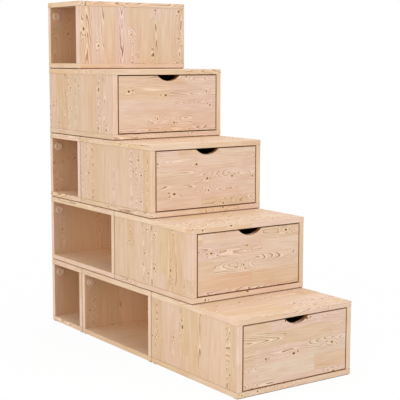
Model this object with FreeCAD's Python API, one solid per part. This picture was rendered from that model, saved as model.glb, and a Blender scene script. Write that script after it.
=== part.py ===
import FreeCAD, Part
import math
import os

# A chest in five steps, stacked from nine pine boxes on one width.
# Five boxes are open shelves, open on the left, and four hold a drawer that opens to the front.
# Millimetres. X runs across the steps, from the open side of the shelves to the closed side.
# The drawer fronts face -Y, the steps climb towards +Y, and Z is up.
# The origin is on the floor, under the middle of the whole chest.

# Driving dimensions of the stair
rise = 250.0
going = 245.0
width = 470.0
step_count = 5
seam_gap = 2.5

# Boards of the boxes
board = 19.0
setback = 1.0
edge_bevel = 1.5
back_thickness = 8.0
back_lap = 8.0
back_edge_gap = 0.3

# Stopped tongues of the upright boards, glued into top and base
tongue_thickness = 8.0
tongue_length = 6.0
tongue_stop = 30.0
tongue_end_gap = 0.3

# Long felt pads under each box, and the loose keys that keep a box in place on the one below
pad_width = 20.0
pad_thickness = 2.0
pad_inset = 3.0
pad_end_inset = 3.0
key_thickness = 8.0
key_width = 40.0
key_height = 24.0
key_bevel = 1.5
key_inset = 60.0
key_side_gap = 0.1
key_end_gap = 0.5

# Round fixing rosettes in the open shelves, on a hole through the rear end board
rosette_diameter = 32.0
rosette_thickness = 4.0
rosette_rim = 2.0
rosette_dish_depth = 1.2
rosette_from_side = 26.0
rosette_from_top = 52.0
rosette_hole_diameter = 7.0
fixing_hole_diameter = 6.0

# Bolt and cap nut that join the two shelves of the bottom step
bolt_diameter = 5.6
bolt_head_diameter = 12.0
bolt_head_height = 2.0
bolt_gap = 0.1
nut_flange_diameter = 16.0
nut_flange_thickness = 2.0
nut_cap_diameter = 10.0
nut_cap_height = 7.0
nut_cap_wall = 2.0

# Drawers
front_gap = 3.0
front_thickness = 15.0
front_round = 1.5
front_bevel = 1.0
drawer_rear_gap = 21.0
drawer_side_thickness = 15.0
drawer_side_clearance = 4.0
drawer_bottom_rise = 6.0
drawer_top_drop = 30.0
drawer_back_thickness = 12.0
drawer_back_inset = 10.0
front_housing = 8.0
back_housing = 5.0
housing_gap = 0.2
bottom_thickness = 6.0
bottom_groove_depth = 6.0
bottom_rise = 10.0
bottom_gap = 0.3

# Finger notch in the top edge of each drawer front
notch_width = 100.0
notch_depth = 19.5
notch_shoulder = 8.0

# Hardwood runners on the case sides, and the grooves that ride on them
runner_height = 16.0
runner_housing = 3.0
runner_fit_gap = 0.1
runner_start = 40.0
groove_depth = 7.0
groove_side_gap = 0.5
running_gap = 0.3

# One overrun serves all cuts, and one tolerance tells which edges lie in a plane
overrun = 5.0
plane_tolerance = 0.01

# Places of the boxes: name, step, then start from the rear and length, both as shares of the going
shelf_box_shares = (
    ("step1_rear_shelf", 1, 0, 1),
    ("step1_middle_shelf", 1, 1, 2),
    ("step2_shelf", 2, 0, 2),
    ("step3_shelf", 3, 0, 1),
    ("step5_shelf", 5, 0, 1),
)
drawer_box_shares = (
    ("step1", 1, 3, 2),
    ("step2", 2, 2, 2),
    ("step3", 3, 1, 2),
    ("step4", 4, 0, 2),
)

# Sizes that follow
depth = step_count * going
half_width = width / 2
rear_plane = depth / 2
side_inner = half_width - setback - board
rosette_x = rosette_from_side - half_width
front_width = 2 * (side_inner - front_gap)
front_height = rise - pad_thickness - 2 * board - 2 * front_gap
drawer_half = side_inner - drawer_side_clearance
drawer_inner = drawer_half - drawer_side_thickness
runner_reach = drawer_side_clearance + groove_depth - groove_side_gap
groove_radius = runner_height / 2 + running_gap


class Box:
    """The planes of one box, outside and inside. Half the seam to the next box is left at each end."""

    def __init__(self, step, start, length):
        self.rear = rear_plane - start * going - seam_gap / 2
        self.front = rear_plane - (start + length) * going + seam_gap / 2
        self.under = (step - 1) * rise + pad_thickness
        self.over = step * rise
        self.floor = self.under + board
        self.ceiling = self.over - board
        self.case_back = self.rear - setback - back_thickness
        self.drawer_end = self.case_back - drawer_rear_gap


def block(x_range, y_range, z_range):
    """A solid block between two places on each axis."""
    corner = FreeCAD.Vector(x_range[0], y_range[0], z_range[0])
    length = x_range[1] - x_range[0]
    breadth = y_range[1] - y_range[0]
    height = z_range[1] - z_range[0]
    return Part.makeBox(length, breadth, height, corner)


def across(half):
    """The range from -half to half."""
    return (-half, half)


def grown(span, amount):
    """A range made longer by the same amount at both ends."""
    return (span[0] - amount, span[1] + amount)


def edges_in_plane(shape, axis, place):
    """The edges of a shape that lie in one plane square to an axis, 0 for X, 1 for Y, 2 for Z."""
    found = []
    for edge in shape.Edges:
        box = edge.BoundBox
        low = (box.XMin, box.YMin, box.ZMin)[axis]
        high = (box.XMax, box.YMax, box.ZMax)[axis]
        if abs(low - place) < plane_tolerance and abs(high - place) < plane_tolerance:
            found.append(edge)
    return found


def slot_bar(x_range, start, end, height, radius):
    """A bar along Y with a round nose about the start, the form of a runner or a routed groove."""
    x = x_range[0]
    upper_start = FreeCAD.Vector(x, start, height + radius)
    nose = FreeCAD.Vector(x, start - radius, height)
    lower_start = FreeCAD.Vector(x, start, height - radius)
    lower_end = FreeCAD.Vector(x, end, height - radius)
    upper_end = FreeCAD.Vector(x, end, height + radius)
    edges = [
        Part.Arc(upper_start, nose, lower_start).toShape(),
        Part.makeLine(lower_start, lower_end),
        Part.makeLine(lower_end, upper_end),
        Part.makeLine(upper_end, upper_start),
    ]
    face = Part.Face(Part.Wire(edges))
    return face.extrude(FreeCAD.Vector(x_range[1] - x_range[0], 0, 0))


def turned_along_y(profile, x, y, z):
    """A solid of revolution about a line along Y, from points of radius and distance towards -Y."""
    points = [FreeCAD.Vector(x + radius, y - distance, z) for radius, distance in profile]
    wire = Part.makePolygon(points + points[:1])
    centre = FreeCAD.Vector(x, y, z)
    return Part.Face(wire).revolve(centre, FreeCAD.Vector(0, 1, 0), 360)


def upright(x_range, y_range, box, tongue_x, tongue_y):
    """An upright board between base and ceiling, with a stopped tongue into each of them."""
    body = block(x_range, y_range, (box.floor, box.ceiling))
    tongues = block(tongue_x, tongue_y, grown((box.floor, box.ceiling), tongue_length))
    return body.fuse(tongues).removeSplitter()


def tongue_groove(box, tongue_x, tongue_y, along_x):
    """The groove for an upright's tongues, longer than the tongue by the gap at its ends."""
    if along_x:
        tongue_x = grown(tongue_x, tongue_end_gap)
    else:
        tongue_y = grown(tongue_y, tongue_end_gap)
    z_range = grown((box.floor, box.ceiling), tongue_length + tongue_end_gap)
    return block(tongue_x, tongue_y, z_range)


def key_places():
    """The middles of the keys, level with the pads: two under each box above the bottom step."""
    places = []
    side = half_width - key_inset
    for _, step, start, length in shelf_box_shares + drawer_box_shares:
        if step > 1:
            box = Box(step, start, length)
            z = box.under - pad_thickness / 2
            places.append((side, box.front + key_inset, z))
            places.append((-side, box.rear - key_inset, z))
    return places


def key_block(place, side_gap, end_gap):
    """The block of one key, or of its mortises when it is grown by the gaps round it."""
    x, y, z = place
    x_range = (x - key_width / 2, x + key_width / 2)
    y_range = (y - key_thickness / 2, y + key_thickness / 2)
    z_range = (z - key_height / 2, z + key_height / 2)
    return block(grown(x_range, side_gap), grown(y_range, side_gap), grown(z_range, end_gap))


def mortised(shape):
    """A board with a mortise for each key that reaches it."""
    for place in key_places():
        mortise = key_block(place, key_side_gap, key_end_gap)
        if mortise.BoundBox.intersect(shape.BoundBox):
            shape = shape.cut(mortise)
    return shape


def top_board(box):
    """The top, over the full footprint of its box, with its upper edges bevelled."""
    plain = block(across(half_width), (box.front, box.rear), (box.ceiling, box.over))
    return plain.makeChamfer(edge_bevel, edges_in_plane(plain, 2, box.over))


def base_board(box):
    """The base, over the full footprint of its box, with its lower edges bevelled."""
    plain = block(across(half_width), (box.front, box.rear), (box.under, box.floor))
    return plain.makeChamfer(edge_bevel, edges_in_plane(plain, 2, box.under))


def end_range(box, at_rear):
    """The Y range of an open shelf's end board."""
    if at_rear:
        return (box.rear - setback - board, box.rear - setback)
    return (box.front + setback, box.front + setback + board)


def fixing_hole(box, at_rear):
    """The hole through an end board behind the rosette."""
    y_range = grown(end_range(box, at_rear), overrun)
    foot = FreeCAD.Vector(rosette_x, y_range[0], box.over - rosette_from_top)
    reach = y_range[1] - y_range[0]
    return Part.makeCylinder(fixing_hole_diameter / 2, reach, foot, FreeCAD.Vector(0, 1, 0))


def shelf_box(name, step, start, length):
    """An open shelf: top, base, two end boards and a thin back in rebates on the closed side."""
    box = Box(step, start, length)
    top = top_board(box)
    base = base_board(box)
    tongue_x = across(half_width - tongue_stop)
    ends = []
    for at_rear in (False, True):
        y_range = end_range(box, at_rear)
        middle = (y_range[0] + y_range[1]) / 2
        tongue_y = (middle - tongue_thickness / 2, middle + tongue_thickness / 2)
        end = upright(across(half_width), y_range, box, tongue_x, tongue_y)
        groove = tongue_groove(box, tongue_x, tongue_y, True)
        top = top.cut(groove)
        base = base.cut(groove)
        ends.append(end)

    back_x = (half_width - setback - back_thickness, half_width - setback)
    inside_y = (end_range(box, False)[1], end_range(box, True)[0])
    back_y = grown(inside_y, back_lap)
    back_z = grown((box.floor, box.ceiling), back_lap)
    back = block(back_x, back_y, back_z)
    rebate_x = (back_x[0], half_width + overrun)
    rebate = block(rebate_x, grown(back_y, back_edge_gap), grown(back_z, back_edge_gap))
    ends = [end.cut(rebate) for end in ends]
    ends[1] = ends[1].cut(fixing_hole(box, True))
    if name == "step1_rear_shelf":
        ends[0] = ends[0].cut(fixing_hole(box, False))
    return {
        name + "_top": [mortised(top.cut(rebate))],
        name + "_base": [mortised(base.cut(rebate))],
        name + "_ends": ends,
        name + "_back": [back],
    }


def runner_level(box):
    """The height of the middle of a runner, half way up the drawer's side."""
    low = box.floor + front_gap + drawer_bottom_rise
    high = box.ceiling - front_gap - drawer_top_drop
    return (low + high) / 2


def runner_bar(box, side, radius, x_inner, x_outer, end):
    """A runner, its housing or its groove on one side: -1 for left and 1 for right."""
    places = sorted((side * x_inner, side * x_outer))
    return slot_bar(places, box.front + runner_start, end, runner_level(box), radius)


def drawer_case(name, step, start, length):
    """The box round a drawer: top, base, two sides, a thin back in rebates, and two runners."""
    box = Box(step, start, length)
    top = top_board(box)
    base = base_board(box)
    back_y = (box.case_back, box.rear - setback)
    back_x = across(side_inner + back_lap)
    back_z = grown((box.floor, box.ceiling), back_lap)
    back = block(back_x, back_y, back_z)
    rebate_y = (back_y[0], box.rear + overrun)
    rebate = block(grown(back_x, back_edge_gap), rebate_y, grown(back_z, back_edge_gap))
    tongue_y = (box.front + tongue_stop, box.rear - tongue_stop)
    sides = []
    runners = []
    for side in (-1, 1):
        x_range = sorted((side * side_inner, side * (side_inner + board)))
        middle = (x_range[0] + x_range[1]) / 2
        tongue_x = (middle - tongue_thickness / 2, middle + tongue_thickness / 2)
        panel = upright(x_range, (box.front, box.rear), box, tongue_x, tongue_y)
        groove = tongue_groove(box, tongue_x, tongue_y, False)
        top = top.cut(groove)
        base = base.cut(groove)
        radius = runner_height / 2
        seat = side_inner + runner_housing
        housing_radius = radius + runner_fit_gap
        housing = runner_bar(box, side, housing_radius, side_inner - overrun, seat, back_y[0])
        runner = runner_bar(box, side, radius, side_inner - runner_reach, seat, back_y[0])
        sides.append(panel.cut(rebate).cut(housing))
        runners.append(runner)
    return {
        name + "_case_top": [mortised(top.cut(rebate))],
        name + "_case_base": [mortised(base.cut(rebate))],
        name + "_case_sides": sides,
        name + "_case_back": [back],
        name + "_case_runners": runners,
    }


def notched_front(box):
    """A drawer front with a half-moon finger notch between two rounded shoulders."""
    y = box.front
    low = box.floor + front_gap
    high = low + front_height
    half = front_width / 2
    # The notch's arc meets both shoulders tangentially, which fixes its radius
    centres_apart = ((notch_width / 2) ** 2 + notch_depth ** 2) / (2 * notch_depth)
    shoulder_share = notch_shoulder / centres_apart
    shoulder_x = notch_width / 2
    meet_x = shoulder_x * (1 - shoulder_share)
    meet_z = high - notch_shoulder + shoulder_share * (centres_apart - notch_depth)
    half_turn = math.atan2(shoulder_x, centres_apart - notch_depth) / 2
    bend_x = shoulder_x - notch_shoulder * math.sin(half_turn)
    bend_z = high - notch_shoulder + notch_shoulder * math.cos(half_turn)

    def at(x, z):
        return FreeCAD.Vector(x, y, z)

    lowest = at(0, high - notch_depth)
    edges = [
        Part.makeLine(at(-half, low), at(half, low)),
        Part.makeLine(at(half, low), at(half, high)),
        Part.makeLine(at(half, high), at(shoulder_x, high)),
        Part.Arc(at(shoulder_x, high), at(bend_x, bend_z), at(meet_x, meet_z)).toShape(),
        Part.Arc(at(meet_x, meet_z), lowest, at(-meet_x, meet_z)).toShape(),
        Part.Arc(at(-meet_x, meet_z), at(-bend_x, bend_z), at(-shoulder_x, high)).toShape(),
        Part.makeLine(at(-shoulder_x, high), at(-half, high)),
        Part.makeLine(at(-half, high), at(-half, low)),
    ]
    face = Part.Face(Part.Wire(edges))
    panel = face.extrude(FreeCAD.Vector(0, front_thickness, 0))
    plain_sides = [
        edge
        for edge in edges_in_plane(panel, 1, y)
        if edge.BoundBox.ZMin < low + plane_tolerance
    ]
    panel = panel.makeChamfer(front_bevel, plain_sides)
    top_run = [
        edge
        for edge in edges_in_plane(panel, 1, y)
        if edge.BoundBox.ZMin > high - notch_depth - plane_tolerance
    ]
    return panel.makeFillet(front_round, top_run)


def drawer(name, step, start, length):
    """A drawer: notched front, grooved sides housed in it, a back, and a bottom in grooves."""
    box = Box(step, start, length)
    low = box.floor + front_gap + drawer_bottom_rise
    high = box.ceiling - front_gap - drawer_top_drop
    front_back = box.front + front_thickness
    end = box.drawer_end
    bottom_z = (low + bottom_rise, low + bottom_rise + bottom_thickness)
    bottom_half = drawer_inner + bottom_groove_depth
    bottom_y = (front_back - bottom_groove_depth, end)
    groove_cut = block(across(bottom_half), (bottom_y[0], end + overrun), bottom_z)
    bottom_x = across(bottom_half - bottom_gap)
    bottom = block(bottom_x, (bottom_y[0] + bottom_gap, end), bottom_z)

    back_y = (end - drawer_back_inset - drawer_back_thickness, end - drawer_back_inset)
    back_x = across(drawer_inner + back_housing - housing_gap)
    back = block(back_x, back_y, (bottom_z[1], high))
    back_cut = block(across(drawer_inner + back_housing), back_y, (bottom_z[1], high + overrun))

    front = notched_front(box).cut(groove_cut)
    sides = []
    for side in (-1, 1):
        x_range = sorted((side * drawer_inner, side * drawer_half))
        panel = block(x_range, (front_back - front_housing + housing_gap, end), (low, high))
        pocket = block(x_range, (front_back - front_housing, front_back + overrun), (low, high))
        inner = drawer_half - groove_depth
        outer = drawer_half + overrun
        groove = runner_bar(box, side, groove_radius, inner, outer, end + overrun)
        sides.append(panel.cut(groove_cut).cut(back_cut).cut(groove))
        front = front.cut(pocket)
    return {
        name + "_drawer_front": [front],
        name + "_drawer_sides": sides,
        name + "_drawer_back": [back],
        name + "_drawer_bottom": [bottom],
    }


def felt_pads():
    """Two long pads across the underside of each box, along its front and its rear edge."""
    solids = []
    x_range = across(half_width - pad_end_inset)
    near = pad_inset
    far = pad_inset + pad_width
    for _, step, start, length in shelf_box_shares + drawer_box_shares:
        box = Box(step, start, length)
        z_range = (box.under - pad_thickness, box.under)
        solids.append(block(x_range, (box.front + near, box.front + far), z_range))
        solids.append(block(x_range, (box.rear - far, box.rear - near), z_range))
    return solids


def stacking_keys():
    """Hardwood keys with bevelled tips, half in the box above and half in the top below."""
    solids = []
    for place in key_places():
        plain = key_block(place, 0, 0)
        half_height = key_height / 2
        tips = edges_in_plane(plain, 2, place[2] - half_height)
        tips += edges_in_plane(plain, 2, place[2] + half_height)
        solids.append(plain.makeChamfer(key_bevel, tips))
    return solids


def rosette(box):
    """A round rosette with a sloping rim, a dished face and a hole, on the rear end board."""
    outer = rosette_diameter / 2
    hole = rosette_hole_diameter / 2
    profile = [
        (hole, 0),
        (outer, 0),
        (outer - rosette_rim, rosette_thickness),
        (hole, rosette_thickness - rosette_dish_depth),
    ]
    y = end_range(box, True)[0]
    return turned_along_y(profile, rosette_x, y, box.over - rosette_from_top)


def connector(rear_shelf, middle_shelf):
    """A bolt through the rosette and two end boards, and its cap nut in the next shelf."""
    z = middle_shelf.over - rosette_from_top
    shank = bolt_diameter / 2
    head = bolt_head_diameter / 2
    # The head's rim rests on the sloping dish, part of the way down from the rosette's face
    dish = rosette_diameter / 2 - rosette_rim
    down_share = (dish - head) / (dish - rosette_hole_diameter / 2)
    seat_height = rosette_thickness - down_share * rosette_dish_depth + bolt_gap
    head_seat = end_range(middle_shelf, True)[0] - seat_height
    nut_seat = end_range(rear_shelf, False)[1]
    tip = nut_seat + nut_cap_height - nut_cap_wall - bolt_gap
    reach = tip - head_seat
    bolt_profile = [
        (0, -reach),
        (shank, -reach),
        (shank, 0),
        (head, 0),
        (head, bolt_head_height),
        (0, bolt_head_height),
    ]
    bolt = turned_along_y(bolt_profile, rosette_x, head_seat, z)
    thread = shank + bolt_gap
    cap = nut_cap_diameter / 2
    flange = nut_flange_diameter / 2
    nut_profile = [
        (thread, 0),
        (flange, 0),
        (cap, -nut_flange_thickness),
        (cap, -nut_cap_height),
        (0, -nut_cap_height),
        (0, nut_cap_wall - nut_cap_height),
        (thread, nut_cap_wall - nut_cap_height),
    ]
    nut = turned_along_y(nut_profile, rosette_x, nut_seat, z)
    return [bolt, nut]


def build():
    """Every node of the chest, by name, as a list of its solids."""
    nodes = {}
    rosettes = []
    places = {}
    for name, step, start, length in shelf_box_shares:
        nodes.update(shelf_box(name, step, start, length))
        places[name] = Box(step, start, length)
        rosettes.append(rosette(places[name]))
    for name, step, start, length in drawer_box_shares:
        nodes.update(drawer_case(name, step, start, length))
        nodes.update(drawer(name, step, start, length))
    nodes["felt_pads"] = felt_pads()
    nodes["stacking_keys"] = stacking_keys()
    nodes["fixing_rosettes"] = rosettes
    nodes["connector_bolt"] = connector(places["step1_rear_shelf"], places["step1_middle_shelf"])
    return nodes


os.makedirs("parts", exist_ok=True)
for node_name, solids in build().items():
    if len(solids) == 1:
        shape = solids[0]
    else:
        shape = Part.makeCompound(solids)
    shape.exportStep("parts/" + node_name + ".step")
    print(node_name, len(solids), "solids,", round(shape.Volume), "mm3, valid", shape.isValid())
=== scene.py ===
import math
import random
from types import SimpleNamespace

import bmesh
import bpy
from mathutils import Matrix, Quaternion, Vector


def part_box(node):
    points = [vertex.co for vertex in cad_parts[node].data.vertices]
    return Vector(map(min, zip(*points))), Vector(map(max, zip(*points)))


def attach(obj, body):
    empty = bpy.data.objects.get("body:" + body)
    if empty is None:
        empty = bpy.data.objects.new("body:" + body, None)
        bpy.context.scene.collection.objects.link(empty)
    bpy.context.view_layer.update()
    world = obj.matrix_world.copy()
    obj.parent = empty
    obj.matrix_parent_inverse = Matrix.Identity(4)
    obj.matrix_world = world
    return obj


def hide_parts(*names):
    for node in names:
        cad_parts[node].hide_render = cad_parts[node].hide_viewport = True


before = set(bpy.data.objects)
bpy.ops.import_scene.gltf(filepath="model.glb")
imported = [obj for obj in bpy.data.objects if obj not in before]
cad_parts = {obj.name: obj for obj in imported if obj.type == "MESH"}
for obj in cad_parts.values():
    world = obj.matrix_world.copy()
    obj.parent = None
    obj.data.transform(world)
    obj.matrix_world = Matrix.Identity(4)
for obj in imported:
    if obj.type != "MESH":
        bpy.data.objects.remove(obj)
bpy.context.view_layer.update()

# A stair of stacked pine boxes. The frame holds its solids. This script gives them their materials, puts finer
# rosettes and felt strips in the place of the plain ones, adds the pins of the thin backs and sets the stage
frame_nodes = sorted(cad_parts)

# Lengths are in metres, except where a comment says millimetres
MM = 0.001
AXES = "XYZ"

# Camera, at the photograph's angle. The focal length of its lens and its sensor are in millimetres
CAMERA_PLACE = (-2.140, -3.1255, 1.041)
CAMERA_YAW_DEG = 35.062
CAMERA_PITCH_DEG = -7.608
CAMERA_ROLL_DEG = 0.11
CAMERA_LENS = 95.60
CAMERA_SENSOR = 36.0

# Light: each soft lamp's name, its place, the point that it looks at, its side and its power in watts
LAMPS = [
    ("key", (-1.9, -4.0, 3.6), (0.0, 0.0, 0.6), 2.6, 30.0),
    ("top", (0.0, 0.2, 4.2), (0.0, 0.0, 1.0), 3.0, 30.0),
    ("left", (-3.7, -2.7, 1.3), (0.0, 0.1, 0.5), 2.0, 40.0),
]
SKY_STRENGTH = 0.76

# Floor: half its side, and the share of plain white that the camera sees there, near the object and further off
FLOOR_REACH = 15.0
FLOOR_CELLS = 8
FLOOR_GREY = (0.80, 0.80, 0.80, 1.0)
FLOOR_GLOW_NEAR = 0.94
FLOOR_GLOW_START = 1.1
FLOOR_GLOW_END = 3.0

# Boards and their sanded arrises
BOARD_HALF = 9.5 * MM
ARRIS_WIDTH = 0.9 * MM
ARRIS_SEGMENTS = 2
ARRIS_ANGLE_DEG = 25.0
FLAT_ANGLE_DEG = 0.5
WELD_DISTANCE = 0.01 * MM
SHARP_ANGLE_DEG = 40.0

# Painted shade of seams between boxes lies under all that are off the floor, and in front of all open shelves
# but the highest. The rim of a board beside a seam, which gets it too, is given by two heights over the middle
# of its thickness
FLOOR_EDGE_TOP = 5.0 * MM
TOP_BOX_FLOOR = 1.0
RIM_FULL = -8.7 * MM
RIM_START = -7.4 * MM

# Rosette, turned about its own axis: radius and height over the board, in millimetres. Its middle is a sunk
# plug, or a hole where the bolt goes through, and the bolt's head has a cap
ROSETTE_STEPS = 64
ROSETTE_PROFILE = [
    (16.0, 0.0), (16.0, 0.5), (15.6, 1.8), (15.0, 2.9), (14.4, 3.6), (13.7, 3.92), (12.8, 3.86), (10.4, 3.58),
    (10.0, 3.1), (9.3, 2.9), (8.6, 3.1), (8.2, 3.32), (6.0, 3.06), (4.4, 2.85),
]
PLUG_PROFILE = [(3.8, 2.5), (3.5, 2.0), (3.1, 1.8)]
HOLE_PROFILE = [(3.8, 2.6), (3.5, 2.1), (3.5, 0.0)]
CAP_PROFILE = [
    (0.4, 5.4), (6.3, 5.4), (6.3, 3.3), (7.4, 3.4), (7.4, 4.7),
    (7.2, 5.3), (6.7, 5.75), (5.8, 6.0), (0.4, 6.15),
]
BOLT_HEAD_REACH = 4.0 * MM

# Pins of the thin backs: the profile of the head, in millimetres, then where they go
PIN_STEPS = 14
PIN_PROFILE = [(1.7, 0.0), (1.62, 0.14), (1.3, 0.3), (0.75, 0.4), (0.25, 0.43)]
PIN_INSET = 4.5 * MM
PIN_SPACING = 62.0 * MM

# Felt strips
FELT_SEED = 7
FELT_STEP = 9.0 * MM
FELT_EDGE = 0.5 * MM
FELT_WANDER = 0.35 * MM

# Jointed panel. Its lengths are in millimetres, from here to those of its fibres
MM_IN_METRE = 1000.0
STAVE_WIDTH = 51.0
SHORT_BLOCK = 215.0
LONG_BLOCK = 420.0
FINGER_PITCH = 3.8
FINGER_LENGTH = 9.0
SEAM_WIDTH = (0.12, 0.4)

# A board's seed shifts its staves, and blocks are shifted and made uneven by parts of their own length
BOARD_SHIFT = 23.7
ROW_SHIFT = 6.0
UNEVEN_TURNS = 2.2
UNEVEN_SHARE = 0.2

# Each kind of random draw has a number of its own
ROW_DRAW = 1.0
BLOCK_DRAW = 2.0
LOG_DRAW = 3.0
KNOT_DRAW = 4.0
RING_DRAW = 5.0

# Knots come in cells along a block, each a big one with a small one near it
KNOT_CELL = 104.0
KNOT_LOT_SHIFT = 700.0
KNOT_STAVE_STRIDE = 7.0
FLAT_SAWN_FROM = 0.40
FLAT_SAWN_KNOTS = 0.60
KNOT_SCATTER_ALONG = 0.4
KNOT_SCATTER_ACROSS = 0.5
KNOT_RADIUS = 2.9
KNOT_RADIUS_ROOM = 1.4
KNOT_WOBBLE = 1.2
KNOT_WOBBLE_TURNS = 0.35
SMALL_KNOT_AHEAD = 13.0
SMALL_KNOT_ASIDE = 15.0
# Of a knot: where its heart fades, in radii, and the heart's strength; the width and strength of its halo; and
# the length, width and strength of its push on the rings
BIG_KNOT = ((0.75, 1.15, 1.0), (8.5, 1.0), (24.0, 9.0, 7.0))
SMALL_KNOT = ((0.45, 0.85, 0.75), (6.0, 0.8), (13.0, 6.0, 3.0))

# Year rings lie round the log's pith, which is near the block where it is flat-sawn. They sway with the grain
FLAT_PITH_ACROSS = 0.9 * STAVE_WIDTH
QUARTER_PITH_ACROSS = 300.0
PITH_DEPTH = 24.0
PITH_DEPTH_ROOM = 30.0
PITH_TILT = 0.13
# The lot and the tone of a block choose where in the noise it is
SWAY_PLACE = (900.0, 300.0)
SWAY_LENGTH = 130.0
SWAY_WIDTH = 34.0
SWAY = 8.0
RIPPLE_TURNS = 3.6
RIPPLE = 1.4
RING_WIDTH = 1.4
RING_WIDTH_ROOM = 0.9
# Parts of a ring's width
LATE_WOOD_RISE = (0.64, 0.84)
LATE_WOOD_FALL = (0.88, 0.96)
EARLY_WOOD_FALL = (0.0, 0.3)
FAINTEST_RING = 0.4
FAINTEST_FLAT_FIGURE = 0.65
QUARTER_FIGURE = 0.40

# The length and width of fibres, streaks and clouds, how far the tone of a block moves its clouds, and how much
# each shades the wood
FIBRE = (90.0, 1.1)
STREAK = (70.0, 4.0)
CLOUD = (120.0, 20.0)
CLOUD_PLACE = 40.0
FIBRE_SHADE = 0.16
STREAK_SHADE = 0.16
CLOUD_SHADE = 0.14

# How much of each colour shows, and how high the fibres and knots and how low the late wood and glue lines are
EARLY_WOOD_SHARE = 0.9
HALO_SHARE = 0.55
SEAM_SHARE = 0.3
FIBRE_HEIGHT = 0.5
KNOT_HEIGHT = 0.4
LATE_WOOD_HEIGHT = -0.5
SEAM_HEIGHT = -0.6

# How the pattern of a panel goes on over its ends and its knotty edges, and how its seed changes with its side
END_DEPTH = 0.05
EDGE_DEPTH = 0.2
END_SHIFT = 3.0
EDGE_SHIFT = 5.0
SIDE_SHIFT = 31.0

# How far a face looks along an axis, from 0 to 1, for something to hold for it. A pair says where that starts
# and where it is full
END_FACE = 0.75
FLAT_FACE = 0.9
INSIDE_LOOK = (0.4, 0.9)
INWARD_LOOK = (0.2, 0.4)
DOWNWARD_LOOK = (-0.05, -0.25)
FORWARD_LOOK = (-0.2, -0.4)
ARRIS_LOOK = (0.995, 0.88)
BROAD_LOOK = (0.6, 0.8)
EDGE_LOOK = (0.6, 0.8)
# A cut that only slants across the fibres already has the tone of the ends
CUT_LOOK = (0.15, 0.6)
RIM_LOOK = (0.6, 0.9)

# Surfaces of pine
PINE_ROUGHNESS = 0.62
PLYWOOD_ROUGHNESS = 0.66
LINE_ROUGHNESS = -0.12
PINE_SPECULAR = 0.25
# How much of an arris shows its painted highlight or shade, and how much of a seam's rim shows painted shade
ARRIS_SHARE = 0.85
RIM_SHADE_SHARE = 0.6

# Other materials: how fine their noises are, in turns in a metre, and where in them lines, flecks and scuffs
# show and how strongly
PLYWOOD_FLAME_TURNS = (3.2, 14.0, 14.0)
PLYWOOD_FIBRE_TURNS = (12.0, 900.0, 900.0)
PLYWOOD_RINGS = 22.0
PLYWOOD_LINE_RISE = (0.55, 0.92)
PLYWOOD_LINE_FALL = (0.94, 1.0)
PLYWOOD_LINE_SHARE = 0.5
BEECH_FLECK_TURNS = (900.0, 120.0, 900.0)
BEECH_CLOUD_TURNS = (60.0, 6.0, 60.0)
BEECH_FLECK_RISE = (0.62, 0.72)
BEECH_FLECK_SHARE = 0.6
FELT_FUZZ_TURNS = 2600.0
FELT_CLOUD_TURNS = 160.0
FELT_CLOUD_SHARE = 0.5
PLASTIC_GRAIN_TURNS = 2200.0
PLASTIC_CLOUD_TURNS = 90.0
ZINC_SPANGLE_TURNS = 420.0
ZINC_SCUFF_TURNS = 1500.0
ZINC_SCUFF_RISE = (0.60, 0.72)
ZINC_SCUFF_SHARE = 0.4


def srgb(red, green, blue):
    """A colour given in display values from 0 to 255, as a shader's linear colour."""
    parts = [value / 255.0 for value in (red, green, blue)]
    linear = [p / 12.92 if p <= 0.04045 else ((p + 0.055) / 1.055) ** 2.4 for p in parts]
    return (*linear, 1.0)


# Colours of pine
BLOCK_TONES = [
    (0.00, srgb(231, 205, 181)),
    (0.22, srgb(231, 199, 175)),
    (0.42, srgb(231, 198, 180)),
    (0.60, srgb(227, 197, 166)),
    (0.80, srgb(228, 192, 162)),
    (1.00, srgb(231, 202, 182)),
]
KNOT_HALO = srgb(238, 208, 168)
KNOT_HEART = srgb(112, 80, 50)
# Colours of arrises: a painted highlight, the plain colour of pine, and painted shade
HIGHLIGHT_ARRIS = srgb(252, 234, 212)
PLAIN_ARRIS = srgb(232, 202, 174)
SHADED_ARRIS = srgb(138, 92, 56)

# Inside the boxes the figure is fainter: this share of the plain colour covers it
QUIET_PINE = srgb(225, 193, 168)
QUIET_SHARE = 0.4

# Colours of the other materials, each from the low to the high parts of a noise
PLYWOOD_COLOURS = [(0.30, srgb(216, 182, 146)), (0.70, srgb(232, 203, 169))]
BEECH_COLOURS = [(0.30, srgb(206, 158, 118)), (0.70, srgb(226, 184, 146))]
FELT_COLOURS = [(0.30, srgb(122, 82, 52)), (0.72, srgb(172, 124, 84))]
PLASTIC_COLOURS = [(0.35, srgb(212, 181, 151)), (0.65, srgb(220, 191, 162))]
ZINC_COLOURS = [(0.35, srgb(214, 208, 198)), (0.65, srgb(230, 225, 216))]

# Colours that others are multiplied by
WHITE = (1.0, 1.0, 1.0, 1.0)
LATE_WOOD = (0.38, 0.24, 0.12, 1.0)
EARLY_WOOD = (1.25, 1.32, 1.45, 1.0)
GLUE_LINE = (0.72, 0.62, 0.50, 1.0)
BEECH_FLECK = (0.66, 0.52, 0.40, 1.0)
FELT_CLOUD = srgb(205, 192, 178)
ZINC_SCUFF = srgb(190, 184, 172)

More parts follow.
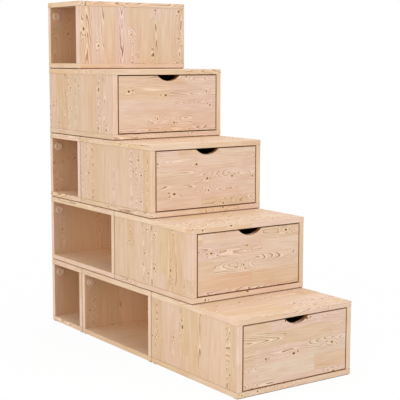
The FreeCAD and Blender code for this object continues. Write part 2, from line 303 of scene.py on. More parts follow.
# Tones of boards, by which their colours are multiplied too: those of their broad faces, long edges and ends
LEVEL_TONE = (1.07, 1.10, 1.07, 1.0)
FRONT_TONE = (1.02, 1.03, 1.02, 1.0)
LEVEL_TONES = (LEVEL_TONE, LEVEL_TONE, (1.10, 1.09, 0.98, 1.0))
# The ends of the drawer cases' bases are a little darker than those of the other level boards: painted shade
CASE_BASE_TONES = (LEVEL_TONE, LEVEL_TONE, (1.03, 1.03, 0.93, 1.0))
SIDE_TONES = ((1.01, 1.00, 0.91, 1.0), (1.08, 1.12, 1.08, 1.0), WHITE)
END_BOARD_TONES = ((1.03, 1.07, 1.09, 1.0), (1.14, 1.17, 1.14, 1.0), WHITE)
# The ends of the drawer fronts, seen in the gaps beside them and as the cut of the grip, are dark: end grain,
# and painted shade of the gaps and the grip
FRONT_TONES = (FRONT_TONE, FRONT_TONE, (0.56, 0.37, 0.23, 1.0))
PLAIN_TONES = (WHITE, WHITE, WHITE)

# Painted shade of faces that look into a box, darker and warmer as with light bounced inside it
NICHE_SHADE = (0.785, 0.663, 0.52)
LONG_NICHE_SHADE = (0.81, 0.73, 0.60)
NICHE_FLOOR_SHADE = (0.97, 0.93, 0.83)
NICHE_BACK_SHADE = (0.92, 0.84, 0.74)
CASE_INSIDE_SHADE = (0.84, 0.65, 0.46)

# Painted light: in an open shelf the painted shade inside is lighter away from the open side
OPEN_SIDE_X = -0.235
DEEP_NICHE_X = -0.02
DEEP_NICHE_LIGHT = (1.38, 1.45, 1.43, 1.0)

# Each kind of pine panel: the axes of its grain, width and thickness, the length of its blocks and their spread
# of tones, the colour of its arrises (a painted highlight on uprights and drawer sides, painted shade on drawer
# fronts), whether knots go on over its edges, and its tones
PINES = {
    "pine_level_boards": ("XYZ", SHORT_BLOCK, 0.9, PLAIN_ARRIS, True, LEVEL_TONES),
    "pine_case_bases": ("XYZ", SHORT_BLOCK, 0.9, PLAIN_ARRIS, True, CASE_BASE_TONES),
    "pine_upright_sides": ("ZYX", LONG_BLOCK, 0.62, HIGHLIGHT_ARRIS, False, SIDE_TONES),
    "pine_upright_ends": ("ZXY", LONG_BLOCK, 0.62, HIGHLIGHT_ARRIS, False, END_BOARD_TONES),
    "pine_drawer_fronts": ("XZY", SHORT_BLOCK, 1.0, SHADED_ARRIS, False, FRONT_TONES),
    "pine_drawer_sides": ("YZX", LONG_BLOCK, 0.8, HIGHLIGHT_ARRIS, False, PLAIN_TONES),
}

# Each kind of node by the end of its name: its material, the axis of its thickness, whether it holds two
# boards, and which side of a single board looks into the box
KINDS = {
    "_top": ("pine_level_boards", "Z", False, -1),
    "_shelf_base": ("pine_level_boards", "Z", False, 1),
    "_case_base": ("pine_case_bases", "Z", False, 1),
    "_shelf_ends": ("pine_upright_ends", "Y", True, 0),
    "_shelf_back": ("pine_upright_sides", "X", False, -1),
    "_case_sides": ("pine_upright_sides", "X", True, 0),
    "_case_back": ("pine_upright_ends", "Y", False, -1),
    "_drawer_front": ("pine_drawer_fronts", "Y", False, 1),
    "_drawer_sides": ("pine_drawer_sides", "X", True, 0),
    "_drawer_back": ("pine_drawer_fronts", "Y", False, -1),
    "_drawer_bottom": ("pine_plywood", "Z", False, 1),
    "_runners": ("planed_beech", "X", True, 0),
    "felt_pads": ("pressed_felt", "Z", False, 0),
    "stacking_keys": ("planed_beech", "Z", False, 0),
    "connector_bolt": ("zinc_steel", "Y", False, 0),
    "fixing_rosettes": ("moulded_plastic", "Y", False, 0),
}
NOT_SANDED = ("connector_bolt", "fixing_rosettes", "felt_pads")

# Every board has its own random pattern. Boards in sight come from picked lots, for the places of their figure
BOARD_SPACING = 1.37
LOT_SPACING = 7.31
LOTS = {
    "step1_case_sides": 14,
    "step1_case_top": 2,
    "step1_drawer_front": 13,
    "step1_middle_shelf_ends": 14,
    "step1_rear_shelf_ends": 8,
    "step2_case_sides": 3,
    "step2_case_top": 23,
    "step2_drawer_front": 9,
    "step2_shelf_ends": 9,
    "step3_case_sides": 23,
    "step3_case_top": 10,
    "step3_drawer_front": 5,
    "step4_case_sides": 6,
    "step4_drawer_front": 28,
    "step5_shelf_ends": 13,
}


class Field:
    """A value that varies over a surface. Sums, products and the like of fields become math nodes."""

    def __init__(self, tree, socket):
        self.tree = tree
        self.socket = socket

    def math(self, operation, *others):
        node = self.tree.nodes.new("ShaderNodeMath")
        node.operation = operation
        for place, value in enumerate((self, *others)):
            feed(node.inputs[place], value)
        return Field(self.tree, node.outputs[0])

    def __add__(self, other):
        return self.math("ADD", other)

    def __sub__(self, other):
        return self.math("SUBTRACT", other)

    def __mul__(self, other):
        return self.math("MULTIPLY", other)

    def __truediv__(self, other):
        return self.math("DIVIDE", other)

    def floor(self):
        return self.math("FLOOR")

    def fraction(self):
        return self.math("FRACT")

    def above(self, edge):
        return self.math("GREATER_THAN", edge)

    def below(self, edge):
        return self.math("LESS_THAN", edge)

    def size(self):
        return self.math("ABSOLUTE")

    def larger(self, other):
        return self.math("MAXIMUM", other)

    def rest(self):
        """What is left up to 1."""
        return self * -1.0 + 1.0

    def bell(self):
        """1 where the field is 0, and falling away smoothly on both sides."""
        return (self * self * -1.0).math("EXPONENT")

    def rise(self, start, end, low=0.0, high=1.0):
        """A smooth step from low to high as the field goes from start to end."""
        # The node wants a range that goes up
        if start > end:
            start, end, low, high = end, start, high, low
        node = self.tree.nodes.new("ShaderNodeMapRange")
        node.interpolation_type = "SMOOTHSTEP"
        values = {"Value": self, "From Min": start, "From Max": end, "To Min": low, "To Max": high}
        for name, value in values.items():
            feed(node.inputs[name], value)
        return Field(self.tree, node.outputs["Result"])

    def fall(self, start, end):
        """A smooth step from 1 to 0 as the field goes from start to end."""
        return self.rise(start, end, 1.0, 0.0)


def feed(socket, value):
    """Links a field to a socket, or writes a plain value on it."""
    if isinstance(value, Field):
        value.tree.links.new(value.socket, socket)
    else:
        socket.default_value = value


def choose(share, first, second):
    """first where share is 0 and second where it is 1."""
    return share * second + share.rest() * first


def vector(tree, x, y, z):
    node = tree.nodes.new("ShaderNodeCombineXYZ")
    for place, value in enumerate((x, y, z)):
        feed(node.inputs[place], value)
    return Field(tree, node.outputs[0])


def parts_of(field):
    """The three numbers of a vector or colour field."""
    node = field.tree.nodes.new("ShaderNodeSeparateXYZ")
    feed(node.inputs[0], field)
    return [Field(field.tree, output) for output in node.outputs]


def chance(place, draw):
    """Four random numbers from 0 to 1 that belong to a place, for one kind of draw."""
    node = place.tree.nodes.new("ShaderNodeTexWhiteNoise")
    node.noise_dimensions = "4D"
    feed(node.inputs["Vector"], place)
    feed(node.inputs["W"], draw)
    return Field(place.tree, node.outputs["Value"]), *parts_of(Field(place.tree, node.outputs["Color"]))


def noise(place, scale=1.0, detail=1.0, roughness=0.5):
    """Soft noise from about 0 to 1, at a scale in turns for each unit of the place."""
    node = place.tree.nodes.new("ShaderNodeTexNoise")
    feed(node.inputs["Vector"], place)
    for name, value in (("Scale", scale), ("Detail", detail), ("Roughness", roughness)):
        feed(node.inputs[name], value)
    return Field(place.tree, node.outputs["Fac"])


def grained_noise(place, turns, detail):
    """Soft noise drawn out along the grain, by its turns in a metre along X, Y and Z."""
    scaled = [value * turn for value, turn in zip(place, turns, strict=True)]
    return noise(vector(place[0].tree, *scaled), detail=detail)


def blend_colours(kind, share, first, second):
    """The first colour, blended with a share of the second."""
    tree = next(value.tree for value in (share, first, second) if isinstance(value, Field))
    node = tree.nodes.new("ShaderNodeMix")
    node.data_type = "RGBA"
    node.blend_type = kind
    # The node has sockets for numbers, vectors and colours, and these are the ones for colours
    feed(node.inputs[0], share)
    feed(node.inputs[6], first)
    feed(node.inputs[7], second)
    return Field(tree, node.outputs[2])


def colour_steps(field, stops):
    """A colour for each value of a field, from a list of positions and colours."""
    node = field.tree.nodes.new("ShaderNodeValToRGB")
    elements = node.color_ramp.elements
    while len(elements) < len(stops):
        elements.new(0.5)
    for element, (position, colour) in zip(elements, stops, strict=True):
        element.position = position
        element.color = colour
    feed(node.inputs[0], field)
    return Field(field.tree, node.outputs["Color"])


def blank_material(name):
    """A new material, its tree and its shader."""
    material = bpy.data.materials.new(name)
    material.use_nodes = True
    tree = material.node_tree
    return material, tree, tree.nodes["Principled BSDF"]


def own_place(tree):
    """The point's three coordinates on its object, in metres. They stay with the object as it moves."""
    node = tree.nodes.new("ShaderNodeTexCoord")
    return parts_of(Field(tree, node.outputs["Object"]))


def face_directions(tree):
    """How far each face looks along X, Y and Z, each from -1 to 1."""
    node = tree.nodes.new("ShaderNodeNewGeometry")
    return parts_of(Field(tree, node.outputs["Normal"]))


def board_facts(tree):
    """What mark_board wrote on the object."""
    found = []
    outputs = {"board": "Vector", "board_inner": "Fac", "board_tone": "Color", "board_open": "Fac"}
    for name, output in outputs.items():
        node = tree.nodes.new("ShaderNodeAttribute")
        node.attribute_type = "OBJECT"
        node.attribute_name = name
        found.append(Field(tree, node.outputs[output]))
    seed, middle, half = parts_of(found[0])
    inner, inside_shade, is_open = found[1:]
    return seed, middle, half, inner, inside_shade, is_open


def set_bump(tree, shader, height, strength, distance):
    node = tree.nodes.new("ShaderNodeBump")
    node.inputs["Strength"].default_value = strength
    node.inputs["Distance"].default_value = distance
    feed(node.inputs["Height"], height)
    tree.links.new(node.outputs["Normal"], shader.inputs["Normal"])


def find_block(along, across, depth, board, length):
    """The block at a point: its stave and number, the point's place in it, its seam and its random traits."""
    stave_place = (across + board * BOARD_SHIFT) / STAVE_WIDTH
    stave = stave_place.floor()
    row_shift, row_turn, *_ = chance(vector(along.tree, stave, board, 0.0), ROW_DRAW)
    even = along / length + row_shift * ROW_SHIFT
    block_place = even + (even * UNEVEN_TURNS + row_turn * ROW_SHIFT).math("SINE") * UNEVEN_SHARE
    zigzag = depth.math("PINGPONG", FINGER_PITCH / 2) * (2 * FINGER_LENGTH / FINGER_PITCH) / length
    jointed_place = block_place + zigzag
    number = jointed_place.floor()
    side_gap = (stave_place.fraction() - 0.5).size() * -STAVE_WIDTH + STAVE_WIDTH / 2
    end_gap = ((jointed_place.fraction() - 0.5).size() * -1.0 + 0.5) * length
    here = vector(along.tree, stave, number, board)
    lot, tone, tilt, drift = chance(here, BLOCK_DRAW)
    sawn, pith, far, wide = chance(here, LOG_DRAW)
    return SimpleNamespace(
        stave=stave,
        number=number,
        along=(block_place - number - 0.5) * length,
        across=(stave_place.fraction() - 0.5) * STAVE_WIDTH,
        seam=side_gap.math("MINIMUM", end_gap).fall(*SEAM_WIDTH),
        flat=sawn.above(FLAT_SAWN_FROM),
        lot=lot,
        tone=tone,
        tilt=tilt,
        drift=drift,
        pith=pith,
        far=far,
        wide=wide,
    )


def one_knot(along, across, wobble, radius, traits):
    """The heart, halo and push of a knot that is this far away along and across."""
    (fade_start, fade_end, strength), (halo_width, halo_strength), pushes = traits
    push_length, push_width, push_strength = pushes
    reach = (along * along + across * across).math("SQRT") + wobble
    heart = (reach / radius).rise(fade_start, fade_end, strength, 0.0)
    halo = (reach / halo_width).bell() * halo_strength
    push = (along / push_length).bell() * (across / push_width).bell() * push_strength
    return heart, halo, push


def find_knots(along, across, depth, board, broad, block):
    """The hearts of the big and the small knots, their pale halos, and how far they push the rings away."""
    cell_place = (block.along + block.lot * KNOT_LOT_SHIFT) / KNOT_CELL
    here = vector(along.tree, block.stave * KNOT_STAVE_STRIDE + block.number, cell_place.floor(), board)
    there, by_along, by_across, by_size = chance(here, KNOT_DRAW)
    present = (there + block.flat * FLAT_SAWN_KNOTS).above(1.0) * broad
    big_along = (cell_place.fraction() - 0.5 - (by_along - 0.5) * KNOT_SCATTER_ALONG) * KNOT_CELL
    big_across = block.across - (by_across - 0.5) * (KNOT_SCATTER_ACROSS * STAVE_WIDTH)
    small_along = big_along - (by_size - 0.5).math("SIGN") * SMALL_KNOT_AHEAD
    small_across = big_across - (by_along - 0.5) * SMALL_KNOT_ASIDE
    rough = noise(vector(along.tree, along, across, depth), KNOT_WOBBLE_TURNS, detail=2.0)
    wobble = rough * (2 * KNOT_WOBBLE) - KNOT_WOBBLE
    radius = by_size * KNOT_RADIUS_ROOM + KNOT_RADIUS
    big_heart, big_halo, big_push = one_knot(big_along, big_across, wobble, radius, BIG_KNOT)
    small_heart, small_halo, small_push = one_knot(small_along, small_across, wobble, radius, SMALL_KNOT)
    halo = big_halo * present + small_halo * present
    return big_heart * present, small_heart * present, halo, (big_push + small_push) * present


def find_rings(depth, block, push):
    """The late and the early wood of the year rings, as strong as the block's figure is."""
    pith = block.pith - 0.5
    pith_across = choose(block.flat, pith * QUARTER_PITH_ACROSS, pith * FLAT_PITH_ACROSS)
    pith_depth = block.far * PITH_DEPTH_ROOM + PITH_DEPTH + (block.tilt - 0.5) * PITH_TILT * block.along
    sway_along = (block.along + block.lot * SWAY_PLACE[0]) / SWAY_LENGTH
    sway_across = (block.across + block.tone * SWAY_PLACE[1]) / SWAY_WIDTH
    grain = vector(depth.tree, sway_along, sway_across, depth / SWAY_WIDTH)
    sway = (noise(grain) - 0.5) * SWAY + (noise(grain, RIPPLE_TURNS) - 0.5) * RIPPLE
    log_across = block.across - pith_across
    log_depth = depth + pith_depth
    reach = (log_across * log_across + log_depth * log_depth).math("SQRT")
    ring_place = (reach + sway + push) / (block.wide * RING_WIDTH_ROOM + RING_WIDTH)
    in_ring = ring_place.fraction()
    ring_tone, *_ = chance(vector(depth.tree, ring_place.floor(), block.stave, block.number), RING_DRAW)
    strength = ring_tone * (1.0 - FAINTEST_RING) + FAINTEST_RING
    late = in_ring.rise(*LATE_WOOD_RISE) * in_ring.fall(*LATE_WOOD_FALL) * strength
    early = in_ring.fall(*EARLY_WOOD_FALL)
    flat_figure = block.drift * (1.0 - FAINTEST_FLAT_FIGURE) + FAINTEST_FLAT_FIGURE
    figure = block.flat * flat_figure + block.flat.rest() * QUARTER_FIGURE
    return late * figure, early * figure


def find_shading(along, across, depth, block):
    """The shading of fibres, streaks and clouds, each to both sides of 0."""
    tree = along.tree
    fibre = noise(vector(tree, along / FIBRE[0], across / FIBRE[1], depth / FIBRE[1]), detail=2.0) - 0.5
    cloud = noise(vector(tree, block.along / CLOUD[0], block.across / CLOUD[1], block.tone * CLOUD_PLACE)) - 0.5
    streak = noise(vector(tree, along / STREAK[0], across / STREAK[1], depth / STREAK[1])) - 0.5
    return fibre, streak, cloud


def panel_group():
    """The pattern of finger-jointed knotty pine: blocks of different logs, glued into staves side by side."""
    group = bpy.data.node_groups.new("jointed_pine", "ShaderNodeTree")
    names = ("Along", "Across", "Depth", "Board", "Broad", "Length", "Spread")
    for name in names:
        group.interface.new_socket(name, in_out="INPUT", socket_type="NodeSocketFloat")
    group.interface.new_socket("Color", in_out="OUTPUT", socket_type="NodeSocketColor")
    for name in ("Height", "Line"):
        group.interface.new_socket(name, in_out="OUTPUT", socket_type="NodeSocketFloat")
    source = group.nodes.new("NodeGroupInput")
    *place, board, broad, length, spread = [Field(group, source.outputs[name]) for name in names]
    along, across, depth = [value * MM_IN_METRE for value in place]

    block = find_block(along, across, depth, board, length)
    heart, small_heart, halo, push = find_knots(along, across, depth, board, broad, block)
    late, early = find_rings(depth, block, push)
    fibre, streak, cloud = find_shading(along, across, depth, block)

    colour = colour_steps((block.tone - 0.5) * spread + 0.5, BLOCK_TONES)
    colour = blend_colours("MULTIPLY", early * EARLY_WOOD_SHARE, colour, EARLY_WOOD)
    colour = blend_colours("MULTIPLY", late, colour, LATE_WOOD)
    colour = blend_colours("MIX", halo * HALO_SHARE, colour, KNOT_HALO)
    colour = blend_colours("MIX", heart.larger(small_heart), colour, KNOT_HEART)
    colour = blend_colours("MULTIPLY", block.seam * SEAM_SHARE, colour, GLUE_LINE)
    shade = fibre * FIBRE_SHADE + streak * STREAK_SHADE + cloud * CLOUD_SHADE + 1.0
    # Darker wood is warmer too
    warm_shade = vector(group, shade, shade * shade, shade * shade * shade)
    colour = blend_colours("MULTIPLY", 1.0, colour, warm_shade)

    height = late * LATE_WOOD_HEIGHT + block.seam * SEAM_HEIGHT + fibre * FIBRE_HEIGHT + heart * KNOT_HEIGHT
    target = group.nodes.new("NodeGroupOutput")
    feed(target.inputs["Color"], colour)
    feed(target.inputs["Height"], height)
    feed(target.inputs["Line"], late.larger(heart))
    return group


def seam_shade(axes, place, looks, facing, within, side, is_open):
    """Two shares: the painted shade of a point at a seam of two boxes, and how far it is on the rim there."""
    over_box = place[2].above(FLOOR_EDGE_TOP) * float(axes[0] != "Z")
    behind_box = place[2].below(TOP_BOX_FLOOR) * is_open
    downwards = looks[2].rise(*DOWNWARD_LOOK) * over_box
    forwards = looks[1].rise(*FORWARD_LOOK) * behind_box
    rim = within.fall(RIM_FULL, RIM_START) * side.below(0.0) * behind_box
    rim = rim * facing[AXES.index(axes[1])].rise(*RIM_LOOK) * float(axes[2] == "Y")
    return downwards.larger(forwards).larger(rim), rim


def pine_material(name, group, axes, length, spread, painted_arris_tone, knotty_edges, tones):
    """Sanded pine panel of one of the kinds in PINES."""
    material, tree, shader = blank_material(name)
    place = own_place(tree)
    looks = face_directions(tree)
    facing = [look.size() for look in looks]
    seed, middle, half, inner, inside_shade, is_open = board_facts(tree)
    grain, width, thickness = [AXES.index(letter) for letter in axes]
    side = (place[thickness] - middle).math("SIGN")
    within = place[thickness] - middle - half * side

    # The narrow ends show long fibres too, as the edges in the photograph do
    end = facing[grain].above(END_FACE)
    edge = facing[width].above(FLAT_FACE) * float(knotty_edges)
    panel = tree.nodes.new("ShaderNodeGroup")
    panel.node_tree = group
    depth = choose(edge, within, place[width] * EDGE_DEPTH)
    feed(panel.inputs["Along"], choose(end, place[grain], place[width]))
    feed(panel.inputs["Across"], choose(end.larger(edge), place[width], within))
    feed(panel.inputs["Depth"], choose(end, depth, place[grain] * END_DEPTH))
    feed(panel.inputs["Board"], seed + side * half * SIDE_SHIFT + end * END_SHIFT + edge * EDGE_SHIFT)
    feed(panel.inputs["Broad"], facing[thickness].above(FLAT_FACE).larger(edge))
    panel.inputs["Length"].default_value = length
    panel.inputs["Spread"].default_value = spread

    # Of two boards in one node, each looks at the other
    inwards = choose(half.above(0.0), inner, side * -1.0) * looks[thickness]
    inside = inwards.rise(*INSIDE_LOOK)
    colour = blend_colours("MIX", inside * QUIET_SHARE, Field(tree, panel.outputs["Color"]), QUIET_PINE)
    shares = (
        facing[thickness].rise(*BROAD_LOOK) * inside.rest(),
        facing[width].rise(*EDGE_LOOK),
        facing[grain].rise(*CUT_LOOK),
    )
    for share, tone in zip(shares, tones, strict=True):
        colour = blend_colours("MULTIPLY", share, colour, tone)
    # Painted light: the painted shade in an open shelf is lighter away from its open side
    deep_niche_light_share = place[0].rise(OPEN_SIDE_X, DEEP_NICHE_X) * is_open
    inside_shade = blend_colours("MULTIPLY", deep_niche_light_share, inside_shade, DEEP_NICHE_LIGHT)
    # Painted shade on the faces that look into a box
    colour = blend_colours("MULTIPLY", inside, colour, inside_shade)

    # Arrises take the tone of their kind, and painted shade where they look into the box or at a seam
    arris = facing[0].larger(facing[1]).larger(facing[2]).rise(*ARRIS_LOOK)
    seam_shade_share, rim = seam_shade(axes, place, looks, facing, within, side, is_open)
    shaded = inwards.rise(*INWARD_LOOK).larger(seam_shade_share)
    painted_arris_tone = blend_colours("MIX", shaded, painted_arris_tone, SHADED_ARRIS)
    arris_light_and_shade_share = (arris * ARRIS_SHARE).larger(rim * RIM_SHADE_SHARE)
    feed(shader.inputs["Base Color"], blend_colours("MIX", arris_light_and_shade_share, colour, painted_arris_tone))
    feed(shader.inputs["Roughness"], Field(tree, panel.outputs["Line"]) * LINE_ROUGHNESS + PINE_ROUGHNESS)
    shader.inputs["Specular IOR Level"].default_value = PINE_SPECULAR
    set_bump(tree, shader, Field(tree, panel.outputs["Height"]), strength=0.35, distance=0.12 * MM)
    return material


def plywood_material():
    """Thin board of peeled veneers, with its layers on the edge."""
    material, tree, shader = blank_material("pine_plywood")
    place = own_place(tree)
    flame = grained_noise(place, PLYWOOD_FLAME_TURNS, detail=2.0)
    rings = (flame * PLYWOOD_RINGS).fraction()
    line = rings.rise(*PLYWOOD_LINE_RISE) * rings.fall(*PLYWOOD_LINE_FALL)
    fibre = grained_noise(place, PLYWOOD_FIBRE_TURNS, detail=2.0)
    base = colour_steps(fibre, PLYWOOD_COLOURS)
    feed(shader.inputs["Base Color"], blend_colours("MULTIPLY", line * PLYWOOD_LINE_SHARE, base, LATE_WOOD))
    feed(shader.inputs["Roughness"], line * -0.1 + PLYWOOD_ROUGHNESS)
    shader.inputs["Specular IOR Level"].default_value = PINE_SPECULAR
    set_bump(tree, shader, line * -0.5 + fibre * 0.5, strength=0.3, distance=0.1 * MM)
    return material


def beech_material():
    """Planed beech, close-grained, with short darker flecks."""
    material, tree, shader = blank_material("planed_beech")
    place = own_place(tree)
    fleck = grained_noise(place, BEECH_FLECK_TURNS, detail=1.0).rise(*BEECH_FLECK_RISE)
    cloud = grained_noise(place, BEECH_CLOUD_TURNS, detail=3.0)
    base = colour_steps(cloud, BEECH_COLOURS)
    feed(shader.inputs["Base Color"], blend_colours("MULTIPLY", fleck * BEECH_FLECK_SHARE, base, BEECH_FLECK))
    feed(shader.inputs["Roughness"], cloud * 0.15 + 0.45)
    set_bump(tree, shader, cloud - fleck * 0.4, strength=0.3, distance=0.1 * MM)
    return material


def felt_material():
    """Pressed brown wool felt."""
    material, tree, shader = blank_material("pressed_felt")
    place = vector(tree, *own_place(tree))
    fuzz = noise(place, FELT_FUZZ_TURNS, detail=4.0, roughness=0.7)
    cloud = noise(place, FELT_CLOUD_TURNS, detail=2.0)
    base = colour_steps(fuzz, FELT_COLOURS)
    feed(shader.inputs["Base Color"], blend_colours("MULTIPLY", cloud * FELT_CLOUD_SHARE, base, FELT_CLOUD))
    feed(shader.inputs["Roughness"], fuzz * 0.1 + 0.88)
    shader.inputs["Sheen Weight"].default_value = 0.4
    set_bump(tree, shader, fuzz, strength=0.8, distance=0.4 * MM)
    return material


def plastic_material():
    """Beige moulded plastic with a fine even grain and a faint cloud in its colour."""
    material, tree, shader = blank_material("moulded_plastic")
    place = vector(tree, *own_place(tree))
    grain = noise(place, PLASTIC_GRAIN_TURNS, detail=3.0)
    cloud = noise(place, PLASTIC_CLOUD_TURNS, detail=2.0)
    feed(shader.inputs["Base Color"], colour_steps(cloud, PLASTIC_COLOURS))
    feed(shader.inputs["Roughness"], grain * 0.12 + 0.34)
    set_bump(tree, shader, grain, strength=0.15, distance=0.05 * MM)
    return material


def zinc_material():
    """Zinc-plated steel, with faint spangle and scuffs."""
    material, tree, shader = blank_material("zinc_steel")
    place = vector(tree, *own_place(tree))
    spangle = noise(place, ZINC_SPANGLE_TURNS, detail=3.0)
    scuff = noise(place, ZINC_SCUFF_TURNS, detail=4.0, roughness=0.7).rise(*ZINC_SCUFF_RISE)
    base = colour_steps(spangle, ZINC_COLOURS)
    feed(shader.inputs["Base Color"], blend_colours("MULTIPLY", scuff * ZINC_SCUFF_SHARE, base, ZINC_SCUFF))
    shader.inputs["Metallic"].default_value = 1.0
    feed(shader.inputs["Roughness"], spangle * 0.2 + scuff * 0.15 + 0.38)
    set_bump(tree, shader, spangle, strength=0.15, distance=0.05 * MM)
    return material


def floor_material():
    """Plain white ground. The camera sees it as white, a little darker only in the object's shadow."""
    material, tree, shader = blank_material("studio_floor")
    rays = tree.nodes.new("ShaderNodeLightPath")
    seen = Field(tree, rays.outputs["Is Camera Ray"])
    x, y, _ = own_place(tree)
    away = (x * x + y * y).math("SQRT")
    feed(shader.inputs["Base Color"], blend_colours("MIX", seen, FLOOR_GREY, WHITE))
    shader.inputs["Roughness"].default_value = 1.0
    shader.inputs["Specular IOR Level"].default_value = 0.0
    glow = tree.nodes.new("ShaderNodeEmission")
    mixed = tree.nodes.new("ShaderNodeMixShader")
    feed(mixed.inputs[0], seen * away.rise(FLOOR_GLOW_START, FLOOR_GLOW_END, FLOOR_GLOW_NEAR, 1.0))
    tree.links.new(shader.outputs[0], mixed.inputs[1])
    tree.links.new(glow.outputs[0], mixed.inputs[2])
    tree.links.new(mixed.outputs[0], tree.nodes["Material Output"].inputs["Surface"])
    return material


def make_materials():
    """The object's materials by name."""
    group = panel_group()
    made = [pine_material(name, group, *facts) for name, facts in PINES.items()]
    made += [plywood_material(), beech_material(), felt_material(), plastic_material(), zinc_material()]
    return {material.name: material for material in made}


def dress(node, material):
    """Gives a node of the frame its material in every slot."""
    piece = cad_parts[node]
    for slot in piece.material_slots:
        slot.link = "OBJECT"
        slot.material = material


def soften(node):
    """Rounds the sharp arrises of a node of the frame, as sanding does."""
    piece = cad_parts[node]
    weld = piece.modifiers.new("weld", "WELD")
    weld.merge_threshold = WELD_DISTANCE
    flat = piece.modifiers.new("flat_faces", "DECIMATE")
    flat.decimate_type = "DISSOLVE"
    flat.angle_limit = math.radians(FLAT_ANGLE_DEG)
    bevel = piece.modifiers.new("arris", "BEVEL")
    bevel.width = ARRIS_WIDTH
    bevel.segments = ARRIS_SEGMENTS
    bevel.limit_method = "ANGLE"
    bevel.angle_limit = math.radians(ARRIS_ANGLE_DEG)
    normals = piece.modifiers.new("normals", "WEIGHTED_NORMAL")
    normals.keep_sharp = False


def painted_shade_inside(node):
    """The painted shade of a node's faces that look into its box."""
    if node.endswith("_shelf_back"):
        return NICHE_BACK_SHADE
    if node.endswith("_shelf_base"):
        return NICHE_FLOOR_SHADE
    if "_case_" in node:
        return CASE_INSIDE_SHADE
    if node.startswith(("step2", "step1_middle")):
        return LONG_NICHE_SHADE
    return NICHE_SHADE


def mark_board(node, seed, depth, pair, inner):
    """Writes on a node what its material asks for: its seed, the middle of its thickness, how far from there
    its two boards lie, its inner side, the painted shade of that side, and whether it is part of an open shelf."""
    low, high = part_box(node)
    axis = AXES.index(depth)
    middle = (low[axis] + high[axis]) / 2
    half = (high[axis] - low[axis]) / 2 - BOARD_HALF if pair else 0.0
    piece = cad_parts[node]
    piece["board"] = [seed, middle, half]
    piece["board_inner"] = float(inner)
    piece["board_tone"] = painted_shade_inside(node)
    piece["board_open"] = float("_shelf_" in node)


def dress_frame(materials):
    """Gives every node of the frame its material, its marks and its rounded arrises."""
    seeds = {}
    for number, node in enumerate(frame_nodes):
        seeds[node] = number * BOARD_SPACING + LOTS.get(node, 0) * LOT_SPACING
    # Of the two level boards of the highest step, the livelier one lies on top
    seeds["step5_shelf_top"], seeds["step5_shelf_base"] = seeds["step5_shelf_base"], seeds["step5_shelf_top"]
    for node in frame_nodes:
        ending = next(end for end in KINDS if node.endswith(end))
        material, depth, pair, inner = KINDS[ending]
        dress(node, materials[material])
        mark_board(node, seeds[node], depth, pair, inner)
        if node not in NOT_SANDED:
            soften(node)


def solids_of(node):
    """The lowest and highest corner of each separate solid of a node."""
    mesh = bmesh.new()
    mesh.from_mesh(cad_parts[node].data)
    bmesh.ops.remove_doubles(mesh, verts=mesh.verts, dist=WELD_DISTANCE)
    left = set(mesh.verts)
    found = []
    while left:
        todo = [left.pop()]
        low, high = todo[0].co.copy(), todo[0].co.copy()
        while todo:
            here = todo.pop()
            low = Vector(map(min, low, here.co))
            high = Vector(map(max, high, here.co))
            for edge in here.link_edges:
                other = edge.other_vert(here)
                if other in left:
                    left.remove(other)
                    todo.append(other)
        found.append((low, high))
    mesh.free()
    return sorted(found, key=lambda box: tuple(box[0]))


def add_piece(name, mesh, material, body, slot, *replaced):
    """Puts a finished mesh in the scene as a piece of the object, smooth but for its sharp edges."""
    bmesh.ops.recalc_face_normals(mesh, faces=mesh.faces)
    for face in mesh.faces:
        face.smooth = True
    for edge in mesh.edges:
        edge.smooth = edge.calc_face_angle(math.pi) < math.radians(SHARP_ANGLE_DEG)
    data = bpy.data.meshes.new(name)
    mesh.to_mesh(data)
    mesh.free()
    data.materials.append(material)
    piece = bpy.data.objects.new(name, data)
    bpy.context.scene.collection.objects.link(piece)
    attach(piece, body)
    if replaced:
        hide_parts(*replaced)


def turn(mesh, profile, place, steps, closed):
    """Adds a solid of revolution. The profile is radius and height in millimetres, and place is its matrix."""
    rings = []
    for radius, height in profile:
        ring = []
        for step in range(steps):
            angle = 2 * math.pi * step / steps
            point = Vector((radius * math.cos(angle), radius * math.sin(angle), height)) * MM
            ring.append(mesh.verts.new(place @ point))
        rings.append(ring)
    if closed:
        rings.append(rings[0])
    for ring, other in zip(rings, rings[1:]):
        for step in range(steps):
            after = (step + 1) % steps
            mesh.faces.new((ring[step], ring[after], other[after], other[step]))
    if not closed:
        mesh.faces.new(rings[0])
        mesh.faces.new(rings[-1])


def facing_axis(place, direction):
    """The matrix of a place whose own Z looks in a direction."""
    spin = Vector(direction).to_track_quat("Z", "Y").to_matrix().to_4x4()
    return Matrix.Translation(place) @ spin


def make_rosettes(material):
    """The moulded rosettes, with a rolled rim, a ring groove and a dished middle, and the cap of the bolt."""
    mesh = bmesh.new()
    head_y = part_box("connector_bolt")[0][1]
    for low, high in solids_of("fixing_rosettes"):
        middle = ((low.x + high.x) / 2, high.y, (low.z + high.z) / 2)
        place = facing_axis(middle, (0.0, -1.0, 0.0))
        if 0.0 < low.y - head_y < BOLT_HEAD_REACH:
            turn(mesh, ROSETTE_PROFILE + HOLE_PROFILE, place, ROSETTE_STEPS, True)
            turn(mesh, CAP_PROFILE, place, ROSETTE_STEPS, False)
        else:
            turn(mesh, ROSETTE_PROFILE + PLUG_PROFILE, place, ROSETTE_STEPS, False)
    add_piece("turned_rosettes", mesh, material, "case", "rosette_plastic", "fixing_rosettes")


def spread_evenly(low, high):
    """Places from low to high, no further apart than the pins' spacing."""
    count = math.ceil((high - low) / PIN_SPACING)
    return [low + (high - low) * number / count for number in range(count + 1)]


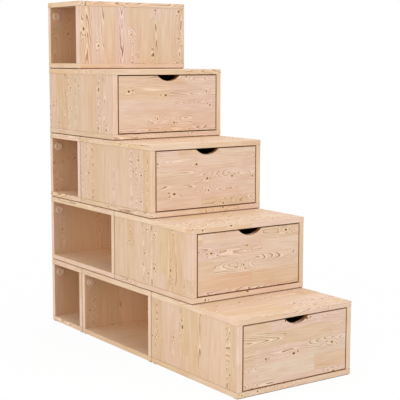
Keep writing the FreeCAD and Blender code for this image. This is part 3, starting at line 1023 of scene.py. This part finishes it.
def make_pins(material):
    """Pins with domed heads round the edge of every thin back."""
    mesh = bmesh.new()
    for node in frame_nodes:
        if not node.endswith(("_shelf_back", "_case_back")):
            continue
        low, high = [Vector(corner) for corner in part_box(node)]
        out = 0 if node.endswith("_shelf_back") else 1
        wide = 1 - out
        ends = [(low[axis] + PIN_INSET, high[axis] - PIN_INSET) for axis in (wide, 2)]
        places = [(w, z) for w in spread_evenly(*ends[0]) for z in ends[1]]
        places += [(w, z) for w in ends[0] for z in spread_evenly(*ends[1])[1:-1]]
        direction = Vector((0.0, 0.0, 0.0))
        direction[out] = 1.0
        for w, z in places:
            point = high.copy()
            point[wide] = w
            point.z = z
            turn(mesh, PIN_PROFILE, facing_axis(point, direction), PIN_STEPS, False)
    add_piece("back_pins", mesh, material, "case", "steel")


def felt_section(near, far, low, high):
    """The outline of a felt strip across its length, with bevelled corners, as places in Y and Z."""
    return [
        (near + FELT_EDGE, low), (far - FELT_EDGE, low), (far, low + FELT_EDGE), (far, high - FELT_EDGE),
        (far - FELT_EDGE, high), (near + FELT_EDGE, high), (near, high - FELT_EDGE), (near, low + FELT_EDGE),
    ]


def make_felt(material):
    """Pressed felt strips with soft edges that wander a little, each in the place of its plain solid."""
    mesh = bmesh.new()
    chances = random.Random(FELT_SEED)
    for low, high in solids_of("felt_pads"):
        count = math.ceil((high.x - low.x) / FELT_STEP)
        before = None
        for number in range(count + 1):
            x = low.x + (high.x - low.x) * number / count
            near = low.y + chances.uniform(0.0, FELT_WANDER)
            far = high.y - chances.uniform(0.0, FELT_WANDER)
            loop = [mesh.verts.new((x, y, z)) for y, z in felt_section(near, far, low.z, high.z)]
            if before is None:
                mesh.faces.new(loop)
            else:
                for place, vertex in enumerate(loop):
                    after = (place + 1) % len(loop)
                    mesh.faces.new((before[place], before[after], loop[after], vertex))
            before = loop
        mesh.faces.new(before)
    add_piece("felt_strips", mesh, material, "case", "felt", "felt_pads")


def make_floor():
    mesh = bmesh.new()
    bmesh.ops.create_grid(mesh, x_segments=FLOOR_CELLS, y_segments=FLOOR_CELLS, size=FLOOR_REACH)
    data = bpy.data.meshes.new("floor")
    mesh.to_mesh(data)
    mesh.free()
    data.materials.append(floor_material())
    floor = bpy.data.objects.new("floor", data)
    bpy.context.scene.collection.objects.link(floor)


def make_world():
    """White surroundings, which light the object at a plain level."""
    world = bpy.data.worlds.new("studio")
    bpy.context.scene.world = world
    world.use_nodes = True
    tree = world.node_tree
    rays = tree.nodes.new("ShaderNodeLightPath")
    sky = tree.nodes["Background"]
    sky.inputs["Color"].default_value = WHITE
    sky.inputs["Strength"].default_value = SKY_STRENGTH
    seen = tree.nodes.new("ShaderNodeBackground")
    seen.inputs["Color"].default_value = WHITE
    mixed = tree.nodes.new("ShaderNodeMixShader")
    looked_at = Field(tree, rays.outputs["Is Camera Ray"])
    for name in ("Is Glossy Ray", "Is Transmission Ray"):
        looked_at = looked_at.larger(Field(tree, rays.outputs[name]))
    feed(mixed.inputs[0], looked_at)
    tree.links.new(sky.outputs[0], mixed.inputs[1])
    tree.links.new(seen.outputs[0], mixed.inputs[2])
    tree.links.new(mixed.outputs[0], tree.nodes["World Output"].inputs["Surface"])


def soft_lamp(name, place, target, size, power):
    """A square soft lamp that looks at a point."""
    data = bpy.data.lights.new(name, "AREA")
    data.size = size
    data.energy = power
    lamp = bpy.data.objects.new(name, data)
    lamp.location = place
    lamp.rotation_mode = "QUATERNION"
    lamp.rotation_quaternion = (Vector(target) - Vector(place)).to_track_quat("-Z", "Y")
    bpy.context.scene.collection.objects.link(lamp)


def make_camera():
    yaw, pitch = math.radians(CAMERA_YAW_DEG), math.radians(CAMERA_PITCH_DEG)
    ahead = Vector((math.sin(yaw) * math.cos(pitch), math.cos(yaw) * math.cos(pitch), math.sin(pitch)))
    data = bpy.data.cameras.new("camera")
    data.sensor_width = CAMERA_SENSOR
    data.lens = CAMERA_LENS
    camera = bpy.data.objects.new("camera", data)
    camera.location = CAMERA_PLACE
    camera.rotation_mode = "QUATERNION"
    roll = Quaternion((0.0, 0.0, 1.0), math.radians(CAMERA_ROLL_DEG))
    camera.rotation_quaternion = ahead.to_track_quat("-Z", "Y") @ roll
    bpy.context.scene.collection.objects.link(camera)
    bpy.context.scene.camera = camera


# The object
materials = make_materials()
dress_frame(materials)
make_rosettes(materials["moulded_plastic"])
make_pins(materials["zinc_steel"])
make_felt(materials["pressed_felt"])

# The stage
make_floor()
make_world()
for lamp_facts in LAMPS:
    soft_lamp(*lamp_facts)
make_camera()
bpy.context.scene.view_settings.view_transform = "Standard"
